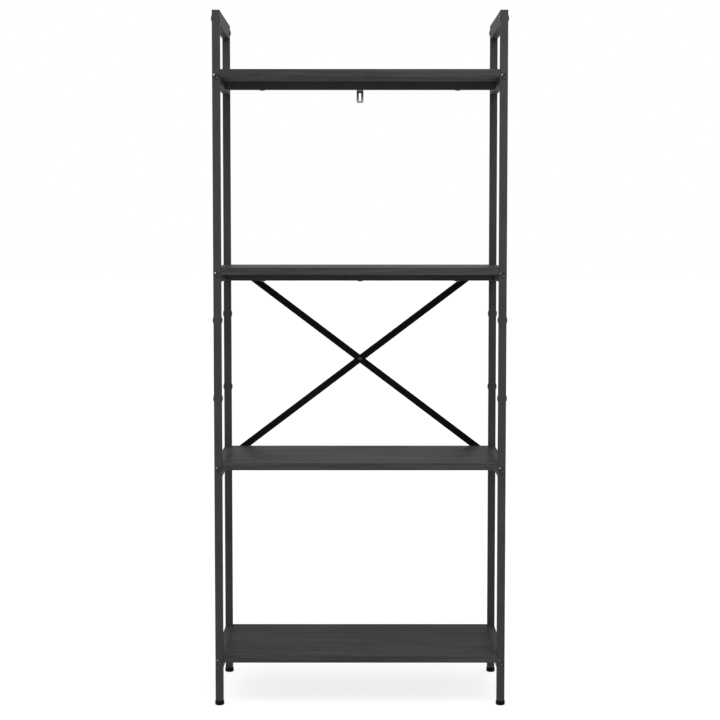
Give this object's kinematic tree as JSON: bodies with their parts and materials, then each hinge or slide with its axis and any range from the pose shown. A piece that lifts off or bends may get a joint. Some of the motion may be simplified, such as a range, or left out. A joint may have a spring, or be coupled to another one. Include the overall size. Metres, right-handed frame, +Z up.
{
  "type": "open bookcase",
  "caption": "Tall open bookcase: square-tube ladder sides with handle-like top rails, bolted shelf boards on tube beams, a back cross brace, levelling feet and a slotted wall bracket.",
  "frame": {"origin": "on the floor under the centre of the overall box, with the feet screwed fully in", "axes": "+Z up, +X to the right and +Y towards the back, as seen from the open front; the cross brace and the wall bracket are on the +Y side"},
  "size_m": [0.6046, 0.2942, 1.43],
  "materials": {
    "frame_paint": "fine-textured anthracite powder coat, satin",
    "shelf_board": "laminated board with a faint charcoal wood grain that runs left to right, matt",
    "brace_paint": "black paint on flat steel, satin",
    "black_plastic": "moulded black plastic, matt",
    "black_steel": "black-coated steel fastener, semi-gloss",
    "zinc_plate": "zinc-plated steel, smooth"
  },
  "bodies": {
    "frame": {"post_front_left_lower": "frame_paint", "post_front_left_upper": "frame_paint", "post_front_right_lower": "frame_paint", "post_front_right_upper": "frame_paint", "post_back_left_lower": "frame_paint", "post_back_left_upper": "frame_paint", "post_back_right_lower": "frame_paint", "post_back_right_upper": "frame_paint", "side_rail_left_1": "frame_paint", "side_rail_left_2": "frame_paint", "side_rail_left_3": "frame_paint", "side_rail_left_4": "frame_paint", "top_rail_left": "frame_paint", "side_rail_right_1": "frame_paint", "side_rail_right_2": "frame_paint", "side_rail_right_3": "frame_paint", "side_rail_right_4": "frame_paint", "top_rail_right": "frame_paint", "shelf_1": "shelf_board", "shelf_2": "shelf_board", "shelf_3": "shelf_board", "shelf_4": "shelf_board", "shelf_beam_1": "frame_paint", "shelf_beam_2": "frame_paint", "shelf_beam_3": "frame_paint", "shelf_beam_4": "frame_paint", "brace_bar_falling": "brace_paint", "brace_bar_rising": "brace_paint", "wall_bracket": "zinc_plate", "post_splice_front_left": "zinc_plate", "post_splice_front_right": "zinc_plate", "post_splice_back_left": "zinc_plate", "post_splice_back_right": "zinc_plate", "splice_bolt_front_left_lower": "black_steel", "splice_bolt_front_left_upper": "black_steel", "splice_bolt_front_right_lower": "black_steel", "splice_bolt_front_right_upper": "black_steel", "splice_bolt_back_left_lower": "black_steel", "splice_bolt_back_left_upper": "black_steel", "splice_bolt_back_right_lower": "black_steel", "splice_bolt_back_right_upper": "black_steel", "top_bolt_front_left": "black_steel", "top_bolt_front_right": "black_steel", "top_bolt_back_left": "black_steel", "top_bolt_back_right": "black_steel", "brace_rivet": "black_steel", "brace_screw_upper_left": "black_steel", "brace_screw_upper_right": "black_steel", "brace_screw_lower_left": "black_steel", "brace_screw_lower_right": "black_steel", "wall_bracket_screw": "black_steel", "foot_insert_front_left": "black_plastic", "foot_insert_front_right": "black_plastic", "foot_insert_back_left": "black_plastic", "foot_insert_back_right": "black_plastic"},
    "levelling_foot_front_left": {"foot_front_left": "black_plastic"},
    "levelling_foot_front_right": {"foot_front_right": "black_plastic"},
    "levelling_foot_back_left": {"foot_back_left": "black_plastic"},
    "levelling_foot_back_right": {"foot_back_right": "black_plastic"}
  },
  "joints": [
    {"name": "foot_front_left_height", "type": "slide", "parent": "frame", "child": "levelling_foot_front_left", "axis": [0, 0, -1], "range_m": [0, 0.008]},
    {"name": "foot_front_right_height", "type": "slide", "parent": "frame", "child": "levelling_foot_front_right", "axis": [0, 0, -1], "range_m": [0, 0.008]},
    {"name": "foot_back_left_height", "type": "slide", "parent": "frame", "child": "levelling_foot_back_left", "axis": [0, 0, -1], "range_m": [0, 0.008]},
    {"name": "foot_back_right_height", "type": "slide", "parent": "frame", "child": "levelling_foot_back_right", "axis": [0, 0, -1], "range_m": [0, 0.008]}
  ]
}
